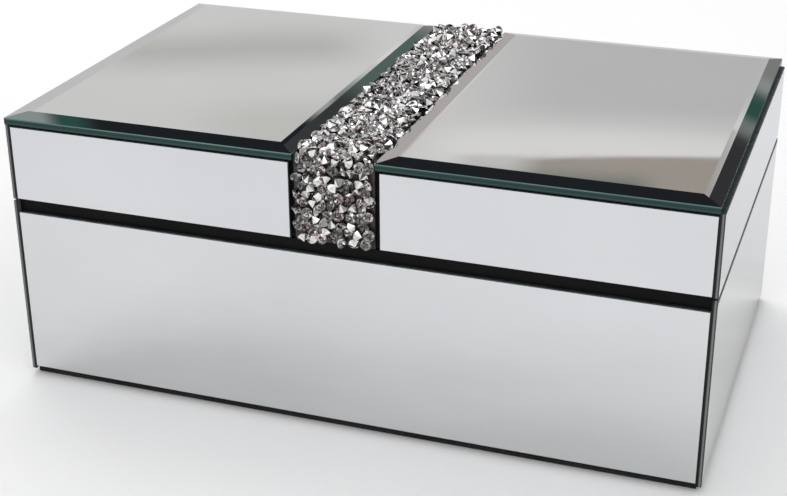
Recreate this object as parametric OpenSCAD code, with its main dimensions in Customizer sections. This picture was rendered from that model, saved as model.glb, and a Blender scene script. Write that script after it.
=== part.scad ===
// Mirrored vanity trinket box. A black board carcass is clad in mirror glass, and a hinged lid
// carries two bevelled mirror slabs on either side of a band of faceted stones.
// Frame: +X runs along the width, +Y from the front to the back, +Z up. The origin is the centre
// of the underside, at the level of the table.

/* [Body] */
// Width over the side mirrors
body_w = 280; // [240:1:320]
// Depth over the front and back mirrors
body_d = 170; // [150:1:200]
// Height of the lid's lower edge above the table
seam_z = 79.4; // [70:0.2:95]
// Open seam between the lid and the base
seam_gap = 0.8; // [0.6:0.1:1.2]
// Height of the lid board's upper face, which the top slabs lie on
deck_z = 111; // [105:1:125]
// Thickness of the felt sheet under the box
felt_t = 2.5; // [1.5:0.5:4]

/* [Carcass] */
// Thickness of the walls and the lid rails
wall_t = 8; // [6:1:10]
// Thickness of the bottom board and the lid board
board_t = 6; // [5:1:8]

/* [Mirror cladding] */
// Thickness of the upright mirrors
mirror_t = 2; // [2:0.5:3]
// Width of the ground arris round each upright mirror
arris_w = 0.35; // [0.2:0.05:0.5]
// Height of the bare black band below the lid's front edge, where a finger lifts the lid
groove_h = 5.4; // [4:0.2:8]
// Bare strip under the base's front mirror
front_sill = 1; // [0.5:0.5:2]
// Shadow gap between the lid's front mirrors and the top slabs
shadow_gap = 0.8; // [0.5:0.1:1.5]

/* [Top slabs] */
// Thickness of the top slabs
slab_t = 4; // [3:0.5:6]
// Width of the polished bevel round each slab
bevel_w = 7; // [4:1:10]
// Height that the bevel drops across its width
bevel_drop = 1.3; // [0.5:0.1:1.5]
// How far the slabs stop short of the body's sides
slab_inset = 1; // [0.8:0.1:2]
// Sideways offset of the slab pair, as glued
slab_shift = -0.7; // [-0.8:0.1:0.8]
// Slab overhang at the front
slab_front = 0.5; // [0:0.1:1]
// Slab overhang at the back, over the hinges
slab_back = 2.5; // [0:0.5:4]

/* [Stone band] */
// Middle of the band, measured from the middle of the box
band_x = -2; // [-40:0.5:40]
// Width of the channel between the lid's front mirrors
channel_w = 35.4; // [35.2:0.2:50]
// How far each slab reaches past the front mirror's edge, into the channel
slab_reach = 1.5; // [0.5:0.1:1.5]
// Stones in the wider rows
stones_across = 7; // [5:1:7]
// Distance between neighbouring stones in a row
stone_pitch = 4.55; // [4.55:0.05:4.6]
// Diameter of a stone's girdle
stone_d = 4.5; // [4:0.1:4.5]
// Thickness of the black bed that holds the stones
bed_t = 1.2; // [1:0.1:2]
// Share of the stones that lie with the table outwards
upright_share = 0.55; // [0.3:0.05:0.9]
// Pattern of the stones' random tilts
stone_seed = 7; // [1:1:99]

/* [Interior] */
// Thickness of the velvet-covered lining boards
lining_t = 1; // [0.8:0.1:1.5]
// Gap from the top of the wall linings to the rim
lining_drop = 1; // [0.5:0.5:3]
// Middle of the divider, measured from the middle of the box
divider_x = 52; // [40:1:70]
// Thickness of the divider
divider_t = 3; // [2:0.5:5]
// Height of the divider above the floor lining
divider_h = 46; // [35:1:55]
// Diameter of a ring roll
roll_d = 15.6; // [14:0.2:17]
// Rolls in the ring pad
roll_count = 9; // [6:1:9]
// Thickness of the ring pad's base board
pad_base_t = 3; // [2:0.5:4]

/* [Hinges] */
// Distance of each hinge from the middle of the box
hinge_x = 85; // [60:1:100]
// Length of a hinge along its pin
hinge_l = 30; // [26:1:36]
// Length of the lid leaf's middle knuckle
knuckle_l = 11; // [9:1:12]
// Radius of the knuckles
knuckle_r = 2.1; // [1.9:0.1:2.4]
// Thickness of the leaves
leaf_t = 0.7; // [0.6:0.1:0.8]
// Gap between the closed leaves
leaf_gap = 0.3; // [0.3:0.1:0.4]
// Radius of the hinge pins
pin_r = 0.8; // [0.7:0.1:1]
// Radial play of a pin in its knuckles
pin_play = 0.05; // [0.02:0.01:0.08]
// Angle at which the hinges' stops stand together
open_angle = 100; // [90:1:105]

/* [Hidden] */
// Outline of the black carcass, inside the cladding
core_w = body_w - 2 * mirror_t;
core_d = body_d - 2 * mirror_t;
inner_w = core_w - 2 * wall_t;
inner_d = core_d - 2 * wall_t;
floor_z = felt_t + board_t;
rim_z = seam_z - seam_gap;
groove_z = seam_z - groove_h;
lid_board_z = deck_z - board_t;
cavity_z = floor_z + lining_t;

// Top slabs and the channel between them
slab_y0 = -body_d / 2 - slab_front;
slab_d = body_d + slab_front + slab_back;
slab_x0 = -body_w / 2 + slab_inset + slab_shift;
slab_x3 = body_w / 2 - slab_inset + slab_shift;
channel_x0 = band_x - channel_w / 2;
channel_x1 = band_x + channel_w / 2;
slab_x1 = channel_x0 + slab_reach;
slab_x2 = channel_x1 - slab_reach;

// Stones: the whole of each one stays inside a ball of its girdle's radius
stone_r = stone_d / 2;
stone_depth = 0.96 * stone_r;
crown_h = 0.4 * stone_r;
table_r = 0.6 * stone_r;
facets = 6;
stone_lift = 0.45;
row_pitch = stone_pitch * sin(60);
band_w = (stones_across - 1) * stone_pitch + stone_d;

// The rows fill the top and the front evenly, and turn the lid's front edge one stone apart
stone_z = deck_z + bed_t + stone_r;
stone_y = -core_d / 2 - bed_t - stone_r;
edge_drop = 1.6;
edge_row_z = stone_z - edge_drop;
first_row_y = stone_y + sqrt(pow(stone_pitch, 2) - pow(edge_drop, 2));
top_run = slab_y0 + slab_d - stone_r - first_row_y;
front_run = edge_row_z - seam_z - stone_r;
top_rows = floor(top_run / row_pitch) + 1;
front_rows = floor(front_run / row_pitch) + 1;

// Interior: the divider and the ring pad
fit_gap = 0.3;
lined_w = inner_w - 2 * lining_t;
lined_d = inner_d - 2 * lining_t;
pad_x0 = divider_x + divider_t / 2 + fit_gap;
pad_x1 = lined_w / 2 - fit_gap;
roll_pitch = (lined_d - 2 * fit_gap) / roll_count;
roll_z = cavity_z + pad_base_t + roll_d / 2;

// Hinges: the pin runs behind the back mirrors at the level of the seam
pin_z = seam_z - seam_gap / 2;
pin_y = body_d / 2 + knuckle_r + fit_gap;
leaf_y0 = inner_d / 2 + 1.5;
leaf_y1 = body_d / 2;
base_leaf_z = pin_z - leaf_gap / 2 - leaf_t;
lid_leaf_z = pin_z + leaf_gap / 2;
bore_r = pin_r + pin_play;
root_y = pin_y - (knuckle_r + bore_r) / 2;
pin_head_r = 1.3;
pin_head_t = 0.5;
mortise_play = 0.2;
screw_y = (inner_d + core_d) / 4 + 0.3;
screw_dx = hinge_l / 2 - 4.5;
screw_r = 0.9;
screw_l = 7;
tip_l = 1;
slot_half_l = 1.1;
slot_w = 0.4;
slot_depth = 0.4;
head_r = 1.8;
pilot_r = screw_r + 0.05;
stop_t = 0.8;
stop_r0 = knuckle_r + 0.4;
stop_r1 = 5.2;
stop_angle = -62;
lid_stop_angle = stop_angle + open_angle + 2 * asin(stop_t / 2 / stop_r0) + 0.6;
blade_root_r = (knuckle_r + bore_r) / 2;
blade_step = 0.4;
blade_end = 3;

// Small felt pads on the base's rim that the closed lid comes down to
rest_pad_r = 2.5;
rest_pad_t = seam_gap - fit_gap;

mirror_colour = [0.80, 0.82, 0.83];
slab_colour = [0.68, 0.70, 0.70];
black_paint = [0.06, 0.06, 0.06];
velvet_colour = [0.09, 0.09, 0.10];
felt_colour = [0.12, 0.12, 0.12];
stone_colour = [0.75, 0.73, 0.72];
steel_colour = [0.70, 0.70, 0.72];
eps = 0.01;

// Box from its lowest to its highest corner
module block(low, high) {
    translate(low) cube(high - low);
}

// Plate on z = 0 with a bevel round its upper face
module bevelled_plate(w, d, t, bevel, drop) {
    difference() {
        translate([-w / 2, -d / 2, 0]) cube([w, d, t]);
        for (side = [0:3])
            rotate(side * 90)
                translate([(side % 2 == 0 ? w : d) / 2, 0, t])
                    bevel_cut(max(w, d) + 2, bevel, drop);
    }
}

// Wedge that takes off one bevel: it falls by drop across the bevel and runs on past the edge
module bevel_cut(length, bevel, drop) {
    rotate([90, 0, 0])
        translate([0, 0, -length / 2])
            linear_extrude(length)
                polygon([[-bevel, 0], [1, -drop * (1 + 1 / bevel)], [1, 1], [-bevel, 1]]);
}

// Upright mirror facing -Y, spanning x0..x1 and z0..z1, with its face at the front of the body
module facing_mirror(x0, x1, z0, z1) {
    translate([(x0 + x1) / 2, -body_d / 2 + mirror_t, (z0 + z1) / 2])
        rotate([90, 0, 0])
            bevelled_plate(x1 - x0, z1 - z0, mirror_t, arris_w, arris_w);
}

// Upright mirror facing +X over the whole depth
module side_mirror(z0, z1) {
    translate([body_w / 2 - mirror_t, 0, (z0 + z1) / 2])
        rotate([90, 0, 90])
            bevelled_plate(body_d, z1 - z0, mirror_t, arris_w, arris_w);
}

// Top slab over x0..x1
module top_slab(x0, x1) {
    translate([(x0 + x1) / 2, slab_y0 + slab_d / 2, deck_z])
        bevelled_plate(x1 - x0, slab_d, slab_t, bevel_w, bevel_drop);
}

// Wall or rail along the back of the carcass, over the whole width
module back_bar(z0, z1) {
    block([-core_w / 2, inner_d / 2, z0], [core_w / 2, core_d / 2, z1]);
}

// Wall or rail along the right side, between the front and back ones
module side_bar(z0, z1) {
    block([inner_w / 2, -inner_d / 2, z0], [core_w / 2, inner_d / 2, z1]);
}

// Lining boards along the inner back face and the inner right face
module back_lining(z0, z1) {
    block([-inner_w / 2, lined_d / 2, z0], [inner_w / 2, inner_d / 2, z1]);
}

module side_lining(z0, z1) {
    block([lined_w / 2, -lined_d / 2, z0], [inner_w / 2, lined_d / 2, z1]);
}

// Felt sheet on the underside
module felt_base() {
    color(felt_colour)
        block([-core_w / 2, -core_d / 2, 0], [core_w / 2, core_d / 2, felt_t]);
}

module base_bottom_board() {
    color(black_paint)
        block([-core_w / 2, -core_d / 2, felt_t], [core_w / 2, core_d / 2, floor_z]);
}

module base_front_wall() {
    color(black_paint) mirror([0, 1, 0]) back_bar(floor_z, rim_z);
}

// The back wall has a mortise and pilot holes for each hinge
module base_back_wall() {
    color(black_paint) difference() {
        back_bar(floor_z, rim_z);
        base_mortises();
        at_base_screws() cylinder(r = pilot_r, h = screw_l + 1, $fn = 24);
    }
}

module base_left_wall() {
    color(black_paint) mirror([1, 0, 0]) side_bar(floor_z, rim_z);
}

module base_right_wall() {
    color(black_paint) side_bar(floor_z, rim_z);
}

// The front mirror stops below the lid, so that the black wall shows as a finger groove
module base_front_mirror() {
    color(mirror_colour) facing_mirror(-core_w / 2, core_w / 2, felt_t + front_sill, groove_z);
}

module base_back_mirror() {
    color(mirror_colour) difference() {
        mirror([0, 1, 0]) facing_mirror(-core_w / 2, core_w / 2, felt_t, rim_z);
        base_mortises();
    }
}

module base_left_mirror() {
    color(mirror_colour) mirror([1, 0, 0]) side_mirror(felt_t, rim_z);
}

module base_right_mirror() {
    color(mirror_colour) side_mirror(felt_t, rim_z);
}

module floor_lining() {
    color(velvet_colour)
        block([-inner_w / 2, -inner_d / 2, floor_z], [inner_w / 2, inner_d / 2, cavity_z]);
}

module front_wall_lining() {
    color(velvet_colour) mirror([0, 1, 0]) back_lining(cavity_z, rim_z - lining_drop);
}

module back_wall_lining() {
    color(velvet_colour) back_lining(cavity_z, rim_z - lining_drop);
}

module left_wall_lining() {
    color(velvet_colour) mirror([1, 0, 0]) side_lining(cavity_z, rim_z - lining_drop);
}

module right_wall_lining() {
    color(velvet_colour) side_lining(cavity_z, rim_z - lining_drop);
}

// Upright divider with a rounded upper edge
module divider() {
    r = divider_t / 2;
    color(velvet_colour)
        translate([divider_x, lined_d / 2, cavity_z])
            rotate([90, 0, 0])
                linear_extrude(lined_d) {
                    translate([-r, 0]) square([divider_t, divider_h - r]);
                    translate([0, divider_h - r]) circle(r, $fn = 32);
                }
}

module ring_pad_base() {
    y = lined_d / 2 - fit_gap;
    color(velvet_colour) block([pad_x0, -y, cavity_z], [pad_x1, y, cavity_z + pad_base_t]);
}

// One padded roll along X, rounded at both ends
module ring_roll(length) {
    r = roll_d / 2;
    end_r = r / 2;
    rotate([0, 90, 0])
        rotate_extrude($fn = 48) {
            square([r - end_r, length]);
            translate([0, end_r]) square([r, length - 2 * end_r]);
            for (y = [end_r, length - end_r])
                translate([r - end_r, y]) circle(end_r, $fn = 32);
        }
}

module ring_rolls() {
    color(velvet_colour)
        for (i = [0 : roll_count - 1])
            translate([pad_x0, (i - (roll_count - 1) / 2) * roll_pitch, roll_z])
                ring_roll(pad_x1 - pad_x0);
}

module lid_rest_pads() {
    color(felt_colour)
        for (side = [-1, 1])
            translate([side * (core_w - wall_t) / 2, -(core_d - wall_t) / 2, rim_z])
                cylinder(r = rest_pad_r, h = rest_pad_t, $fn = 32);
}

module lid_board() {
    color(black_paint)
        block([-core_w / 2, -core_d / 2, lid_board_z], [core_w / 2, core_d / 2, deck_z]);
}

module lid_front_rail() {
    color(black_paint) mirror([0, 1, 0]) back_bar(seam_z, lid_board_z);
}

// The back rail has a mortise and pilot holes for each hinge
module lid_back_rail() {
    color(black_paint) difference() {
        back_bar(seam_z, lid_board_z);
        lid_mortises();
        at_lid_screws() cylinder(r = pilot_r, h = screw_l + 1, $fn = 24);
    }
}

module lid_left_rail() {
    color(black_paint) mirror([1, 0, 0]) side_bar(seam_z, lid_board_z);
}

module lid_right_rail() {
    color(black_paint) side_bar(seam_z, lid_board_z);
}

// The lid's front mirrors leave the channel between them free for the stone band
module lid_front_left_mirror() {
    color(mirror_colour) facing_mirror(-core_w / 2, channel_x0, seam_z, deck_z - shadow_gap);
}

module lid_front_right_mirror() {
    color(mirror_colour) facing_mirror(channel_x1, core_w / 2, seam_z, deck_z - shadow_gap);
}

module lid_back_mirror() {
    color(mirror_colour) difference() {
        mirror([0, 1, 0]) facing_mirror(-core_w / 2, core_w / 2, seam_z, deck_z - shadow_gap);
        lid_mortises();
    }
}

module lid_left_mirror() {
    color(mirror_colour) mirror([1, 0, 0]) side_mirror(seam_z, deck_z);
}

module lid_right_mirror() {
    color(mirror_colour) side_mirror(seam_z, deck_z);
}

module top_left_slab() {
    color(slab_colour) top_slab(slab_x0, slab_x1);
}

module top_right_slab() {
    color(slab_colour) top_slab(slab_x2, slab_x3);
}

// Black bed along the lid's top
module top_stone_bed() {
    color(black_paint)
        block(
            [band_x - band_w / 2, -core_d / 2 - bed_t, deck_z],
            [band_x + band_w / 2, slab_y0 + slab_d, deck_z + bed_t]
        );
}

// Black bed down the lid's front
module front_stone_bed() {
    color(black_paint)
        block(
            [band_x - band_w / 2, -core_d / 2 - bed_t, seam_z],
            [band_x + band_w / 2, -core_d / 2, deck_z]
        );
}

// Corners of a flat ring of the stone's facets
function ring(r, z) = [for (i = [0 : facets - 1]) [r * cos(i * 360 / facets), r * sin(i * 360 / facets), z]];

// Faceted stone with its girdle on z = 0, its flat table up and its pointed back down
module stone() {
    points = concat([[0, 0, -stone_depth]], ring(stone_r, 0), ring(table_r, crown_h));
    back = [for (i = [0 : facets - 1]) [0, 1 + i, 1 + (i + 1) % facets]];
    crown = [for (i = [0 : facets - 1])
        [1 + i, 1 + facets + i, 1 + facets + (i + 1) % facets, 1 + (i + 1) % facets]];
    table = [[for (i = [facets - 1 : -1 : 0]) 1 + facets + i]];
    polyhedron(points = points, faces = concat(back, crown, table));
}

// Tip of a stone away from table-out: a few degrees, or most of the way over to show its back
function tip(u, v) = u < upright_share ? 22 * v : 70 + 75 * v;

// Rows of stones on the XY plane, table towards +Z. Odd rows are one stone shorter, so that the
// stones nest, and each stone is lifted a little and tipped by its own random amount.
module stone_rows(rows, pitch, seed) {
    u = rands(0, 1, rows * stones_across, seed);
    v = rands(0, 1, rows * stones_across, seed + 1);
    w = rands(0, 1, rows * stones_across, seed + 2);
    for (row = [0 : rows - 1]) {
        count = stones_across - row % 2;
        for (col = [0 : count - 1]) {
            i = row * stones_across + col;
            translate([(col - (count - 1) / 2) * stone_pitch, row * pitch, stone_lift * w[i]])
                rotate([tip(u[i], v[i]), 0, 360 * w[i]])
                    stone();
        }
    }
}

// Stones along the top, from behind the front edge to the back edge
module top_stones() {
    color(stone_colour)
        translate([band_x, first_row_y, stone_z])
            stone_rows(top_rows, top_run / (top_rows - 1), stone_seed);
}

// Stones down the front, from the lid's upper edge to its lower edge
module front_stones() {
    color(stone_colour)
        translate([band_x, stone_y, edge_row_z])
            rotate([90, 0, 0])
                mirror([0, 1, 0])
                    stone_rows(front_rows, front_run / (front_rows - 1), stone_seed + 10);
}

module lid_lining() {
    z = lid_board_z - lining_t;
    color(velvet_colour)
        block([-inner_w / 2, -inner_d / 2, z], [inner_w / 2, inner_d / 2, lid_board_z]);
}

module lid_front_lining() {
    color(velvet_colour) mirror([0, 1, 0]) lid_back_lining_board();
}

module lid_back_lining() {
    color(velvet_colour) lid_back_lining_board();
}

module lid_left_lining() {
    color(velvet_colour) mirror([1, 0, 0]) lid_side_lining_board();
}

module lid_right_lining() {
    color(velvet_colour) lid_side_lining_board();
}

module lid_back_lining_board() {
    back_lining(seam_z + lining_drop, lid_board_z - lining_t);
}

module lid_side_lining_board() {
    side_lining(seam_z + lining_drop, lid_board_z - lining_t);
}

// Recesses for the leaves in the base's rim and in the lid's lower edge
module base_mortises() {
    for (side = [-1, 1])
        leaf_recess(side * hinge_x, base_leaf_z, rim_z + 1);
}

module lid_mortises() {
    for (side = [-1, 1])
        leaf_recess(side * hinge_x, seam_z - 1, lid_leaf_z + leaf_t);
}

module leaf_recess(x, z0, z1) {
    half = hinge_l / 2 + mortise_play;
    block([x - half, leaf_y0 - mortise_play, z0], [x + half, body_d / 2 + 1, z1]);
}

// Places for the screws: +Z points down into the base, or up into the lid
module at_base_screws() {
    for (side = [-1, 1], dx = [-screw_dx, screw_dx])
        translate([side * hinge_x + dx, screw_y, base_leaf_z + leaf_t]) mirror([0, 0, 1]) children();
}

module at_lid_screws() {
    for (side = [-1, 1], dx = [-screw_dx, screw_dx])
        translate([side * hinge_x + dx, screw_y, lid_leaf_z]) children();
}

// Countersunk screw, its cross-recessed head flush with z = 0 and its point towards +Z
module screw() {
    difference() {
        union() {
            cylinder(r1 = head_r, r2 = screw_r, h = leaf_t, $fn = 32);
            cylinder(r = screw_r, h = screw_l - tip_l, $fn = 24);
            translate([0, 0, screw_l - tip_l]) cylinder(r1 = screw_r, r2 = 0.1, h = tip_l, $fn = 24);
        }
        for (turn = [0, 90])
            rotate(turn + 45) cube([2 * slot_half_l, slot_w, 2 * slot_depth], center = true);
    }
}

// Countersunk hole through a leaf, a little wider than the screw
module screw_hole() {
    wide = 0.1;
    translate([0, 0, -eps])
        cylinder(r1 = head_r + wide, r2 = screw_r + wide, h = leaf_t + 2 * eps, $fn = 32);
}

// Knuckle tube along X, from x0 to x1 on the pin's axis
module knuckle(x0, x1) {
    translate([x0, pin_y, pin_z]) rotate([0, 90, 0]) cylinder(r = knuckle_r, h = x1 - x0, $fn = 48);
}

module knuckle_bore() {
    translate([-hinge_l, pin_y, pin_z])
        rotate([0, 90, 0])
            cylinder(r = bore_r, h = 2 * hinge_l, $fn = 32);
}

// Stop blade that stands out from the knuckles at an angle above the horizontal
module stop_blade(angle, x0, x1, r0) {
    translate([0, pin_y, pin_z])
        rotate([angle, 0, 0])
            block([x0, r0, -stop_t / 2], [x1, stop_r1, stop_t / 2]);
}

// Base leaf of a hinge at the middle of the box: the two outer knuckles and the fixed stops
module base_leaf() {
    half = hinge_l / 2;
    inner = knuckle_l / 2 + fit_gap;
    difference() {
        union() {
            block([-half, leaf_y0, base_leaf_z], [half, leaf_y1, base_leaf_z + leaf_t]);
            for (side = [0, 1])
                mirror([side, 0, 0]) {
                    block([inner, leaf_y1 - eps, base_leaf_z], [half, root_y, base_leaf_z + leaf_t]);
                    knuckle(inner, half);
                    stop_blade(stop_angle, inner + blade_step, half - blade_end, blade_root_r);
                }
        }
        knuckle_bore();
    }
}

// Lid leaf: the middle knuckle, and a stop blade that reaches over the fixed stops
module lid_leaf() {
    half = hinge_l / 2;
    inner = knuckle_l / 2;
    difference() {
        union() {
            block([-half, leaf_y0, lid_leaf_z], [half, leaf_y1, lid_leaf_z + leaf_t]);
            block([-inner, leaf_y1 - eps, lid_leaf_z], [inner, root_y, lid_leaf_z + leaf_t]);
            knuckle(-inner, inner);
            stop_blade(lid_stop_angle, blade_step - inner, inner - blade_step, blade_root_r);
            stop_blade(lid_stop_angle, blade_end - half, half - blade_end, stop_r0);
        }
        knuckle_bore();
    }
}

// The leaves at x, with their screw holes
module base_leaf_at(x) {
    color(steel_colour) difference() {
        translate([x, 0, 0]) base_leaf();
        at_base_screws() screw_hole();
    }
}

module lid_leaf_at(x) {
    color(steel_colour) difference() {
        translate([x, 0, 0]) lid_leaf();
        at_lid_screws() screw_hole();
    }
}

module left_hinge_base_leaf() base_leaf_at(-hinge_x);

module right_hinge_base_leaf() base_leaf_at(hinge_x);

module left_hinge_lid_leaf() lid_leaf_at(-hinge_x);

module right_hinge_lid_leaf() lid_leaf_at(hinge_x);

// Headed pins through the knuckles
module hinge_pins() {
    half = hinge_l / 2 + 0.1;
    color(steel_colour)
        for (side = [-1, 1])
            translate([side * hinge_x, pin_y, pin_z])
                rotate([0, 90, 0]) {
                    cylinder(r = pin_r, h = 2 * half, center = true, $fn = 32);
                    for (end = [-1, 1])
                        translate([0, 0, end * (half + pin_head_t / 2)])
                            cylinder(r = pin_head_r, h = pin_head_t, center = true, $fn = 32);
                }
}

module base_hinge_screws() {
    color(steel_colour) at_base_screws() screw();
}

module lid_hinge_screws() {
    color(steel_colour) at_lid_screws() screw();
}

felt_base();
base_bottom_board();
base_front_wall();
base_back_wall();
base_left_wall();
base_right_wall();
base_front_mirror();
base_back_mirror();
base_left_mirror();
base_right_mirror();
floor_lining();
front_wall_lining();
back_wall_lining();
left_wall_lining();
right_wall_lining();
divider();
ring_pad_base();
ring_rolls();
lid_rest_pads();
left_hinge_base_leaf();
right_hinge_base_leaf();
hinge_pins();
base_hinge_screws();
lid_board();
lid_front_rail();
lid_back_rail();
lid_left_rail();
lid_right_rail();
lid_front_left_mirror();
lid_front_right_mirror();
lid_back_mirror();
lid_left_mirror();
lid_right_mirror();
top_left_slab();
top_right_slab();
top_stone_bed();
front_stone_bed();
top_stones();
front_stones();
lid_lining();
lid_front_lining();
lid_back_lining();
lid_left_lining();
lid_right_lining();
left_hinge_lid_leaf();
right_hinge_lid_leaf();
lid_hinge_screws();
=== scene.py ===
"""Looks of the mirrored vanity trinket box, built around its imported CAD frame. Units are metres."""
import itertools
import math
import random

import bmesh
import bpy
import numpy as np
from mathutils import Matrix, Quaternion, Vector


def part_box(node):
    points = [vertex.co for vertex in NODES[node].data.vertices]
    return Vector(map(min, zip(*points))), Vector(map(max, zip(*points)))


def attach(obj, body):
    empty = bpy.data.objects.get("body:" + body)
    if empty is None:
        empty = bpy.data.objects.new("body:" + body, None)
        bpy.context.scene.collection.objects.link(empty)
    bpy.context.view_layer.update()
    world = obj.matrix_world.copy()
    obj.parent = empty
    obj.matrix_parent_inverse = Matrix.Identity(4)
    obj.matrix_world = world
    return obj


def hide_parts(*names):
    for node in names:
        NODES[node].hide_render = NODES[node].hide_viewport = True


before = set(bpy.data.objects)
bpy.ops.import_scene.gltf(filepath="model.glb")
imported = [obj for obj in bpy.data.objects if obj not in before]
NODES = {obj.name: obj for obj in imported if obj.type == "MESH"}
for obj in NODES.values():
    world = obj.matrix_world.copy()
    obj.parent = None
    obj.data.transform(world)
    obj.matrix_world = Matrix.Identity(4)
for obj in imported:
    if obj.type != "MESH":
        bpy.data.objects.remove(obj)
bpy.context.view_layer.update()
MM = 0.001


# ---------------------------------------------------------------- camera

CAMERA_AT = Vector((0.1948, -0.5724, 0.3177))
CAMERA_LOOKS_AT = Vector((-0.0090, 0.0, 0.0401))
CAMERA_ROLL = -0.0059
LENS_MM = 70.83


def make_camera():
    data = bpy.data.cameras.new("camera")
    data.lens = LENS_MM
    data.sensor_width = 36.0
    data.clip_start = 0.01
    camera = bpy.data.objects.new("camera", data)
    turn = (CAMERA_LOOKS_AT - CAMERA_AT).to_track_quat("-Z", "Y")
    camera.rotation_euler = (turn @ Quaternion((0, 0, 1), CAMERA_ROLL)).to_euler()
    camera.location = CAMERA_AT
    bpy.context.scene.collection.objects.link(camera)
    bpy.context.scene.camera = camera


make_camera()


# ---------------------------------------------------------------- shader helpers

class Shader:
    """A material's node tree with short calls for the nodes that this scene uses."""

    def __init__(self, name):
        self.material = bpy.data.materials.new(name)
        self.material.use_nodes = True
        self.tree = self.material.node_tree
        self.bsdf = self.tree.nodes["Principled BSDF"]

    def node(self, kind, **settings):
        made = self.tree.nodes.new(kind)
        for key, value in settings.items():
            setattr(made, key, value)
        return made

    def link(self, out, into):
        self.tree.links.new(out, into)

    def set(self, **sockets):
        """Sockets of the shader by name, with _ for a space, as numbers."""
        for key, value in sockets.items():
            self.bsdf.inputs[key.replace("_", " ")].default_value = value
        return self

    def place(self):
        return self.node("ShaderNodeTexCoord").outputs["Object"]

    def scaled(self, factors):
        mapping = self.node("ShaderNodeMapping")
        mapping.inputs["Scale"].default_value = factors
        self.link(self.place(), mapping.inputs["Vector"])
        return mapping.outputs["Vector"]

    def noise(self, scale, detail=4.0, rough=0.55, distortion=0.0, stretch=(1, 1, 1)):
        made = self.node("ShaderNodeTexNoise")
        made.inputs["Scale"].default_value = scale
        made.inputs["Detail"].default_value = detail
        made.inputs["Roughness"].default_value = rough
        made.inputs["Distortion"].default_value = distortion
        self.link(self.scaled(stretch), made.inputs["Vector"])
        return made.outputs["Fac"]

    def ramp(self, factor, stops):
        """stops are (position, colour or grey)."""
        made = self.node("ShaderNodeValToRGB")
        elements = made.color_ramp.elements
        while len(elements) < len(stops):
            elements.new(0.5)
        for element, (position, colour) in zip(elements, stops):
            element.position = position
            element.color = rgba(colour)
        self.link(factor, made.inputs["Fac"])
        return made.outputs["Color"]

    def spread(self, factor, low, high, from_low=0.3, from_high=0.7):
        """factor's middle range spread over low..high."""
        made = self.node("ShaderNodeMapRange")
        made.inputs["From Min"].default_value = from_low
        made.inputs["From Max"].default_value = from_high
        made.inputs["To Min"].default_value = low
        made.inputs["To Max"].default_value = high
        self.link(factor, made.inputs["Value"])
        return made.outputs["Result"]

    def math(self, operation, *values):
        return math_node(self.tree, operation, *values)

    def mix(self, factor, a, b, blend="MIX"):
        made = self.node("ShaderNodeMix", data_type="RGBA", blend_type=blend)
        feed_mix(self.tree, made, factor, a, b)
        return made.outputs[2]

    def colour(self, out):
        self.link(out, self.bsdf.inputs["Base Color"])
        return self

    def rough(self, out):
        self.link(out, self.bsdf.inputs["Roughness"])
        return self

    def along(self, axis, low, high):
        """0 to 1 from low to high along one axis of the object."""
        split = self.node("ShaderNodeSeparateXYZ")
        self.link(self.place(), split.inputs["Vector"])
        return self.spread(split.outputs[axis], 0.0, 1.0, low, high)

    def bump(self, height, distance, strength=1.0, normal=None):
        made = self.node("ShaderNodeBump")
        made.inputs["Distance"].default_value = distance
        made.inputs["Strength"].default_value = strength
        self.link(height, made.inputs["Height"])
        if normal is not None:
            self.link(normal, made.inputs["Normal"])
        self.link(made.outputs["Normal"], self.bsdf.inputs["Normal"])
        return self


def math_node(tree, operation, *values):
    """Result of a maths node on links or numbers."""
    made = tree.nodes.new("ShaderNodeMath")
    made.operation = operation
    for socket, value in zip(made.inputs, values):
        if isinstance(value, bpy.types.NodeSocket):
            tree.links.new(value, socket)
        else:
            socket.default_value = value
    return made.outputs["Value"]


def feed_mix(tree, node, factor, a, b):
    """Links or values into a colour mix node."""
    if isinstance(factor, bpy.types.NodeSocket):
        tree.links.new(factor, node.inputs[0])
    else:
        node.inputs[0].default_value = factor
    for socket, value in ((node.inputs[6], a), (node.inputs[7], b)):
        if isinstance(value, bpy.types.NodeSocket):
            tree.links.new(value, socket)
        else:
            socket.default_value = rgba(value)


def rgba(colour):
    """A grey number, an RGB or an RGBA as an RGBA."""
    if isinstance(colour, (int, float)):
        return (colour, colour, colour, 1.0)
    return (*colour, 1.0) if len(colour) == 3 else tuple(colour)


# ---------------------------------------------------------------- measures of the glass

SLAB_LOW, SLAB_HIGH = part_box("top_left_slab")
RIGHT_LOW, RIGHT_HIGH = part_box("top_right_slab")
BODY_LOW, BODY_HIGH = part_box("lid_left_mirror")[0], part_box("lid_right_mirror")[1]
SEAM_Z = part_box("lid_rest_pads")[0].z
MIRROR_T = 2.0 * MM
BEVEL_W = 7.0 * MM
BEVEL_DROP = 1.3 * MM
EDGE_TOP_Z = SLAB_HIGH.z - BEVEL_DROP

# The strip beside a bevel that light crosses the bevel only once for, by where it lies
BEVEL_STRIP = 2.0 * MM
LEFT_FACE_STRIP = 1.8 * MM
RIGHT_FACE_STRIP = 1.0 * MM
STRIP_SOFT = 0.1 * MM

# Shade and silvering of a side mirror over the height SEAM_REACH below and above the seam: the grey of
# the unsilvered glass edge, then a black band, both darkened with painted shade of the gap
SEAM_REACH = 4.0 * MM
SEAM_EDGE_AND_PAINTED_SHADE = [
    (0.0, 1.0), (0.20, 1.0), (0.24, 0.62), (0.37, 0.44), (0.39, 0.03), (0.56, 0.03), (0.58, 1.0)
]
SEAM_SILVER = [(0.0, 1.0), (0.20, 1.0), (0.24, 0.0), (0.56, 0.0), (0.58, 1.0)]


# ---------------------------------------------------------------- materials

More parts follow.
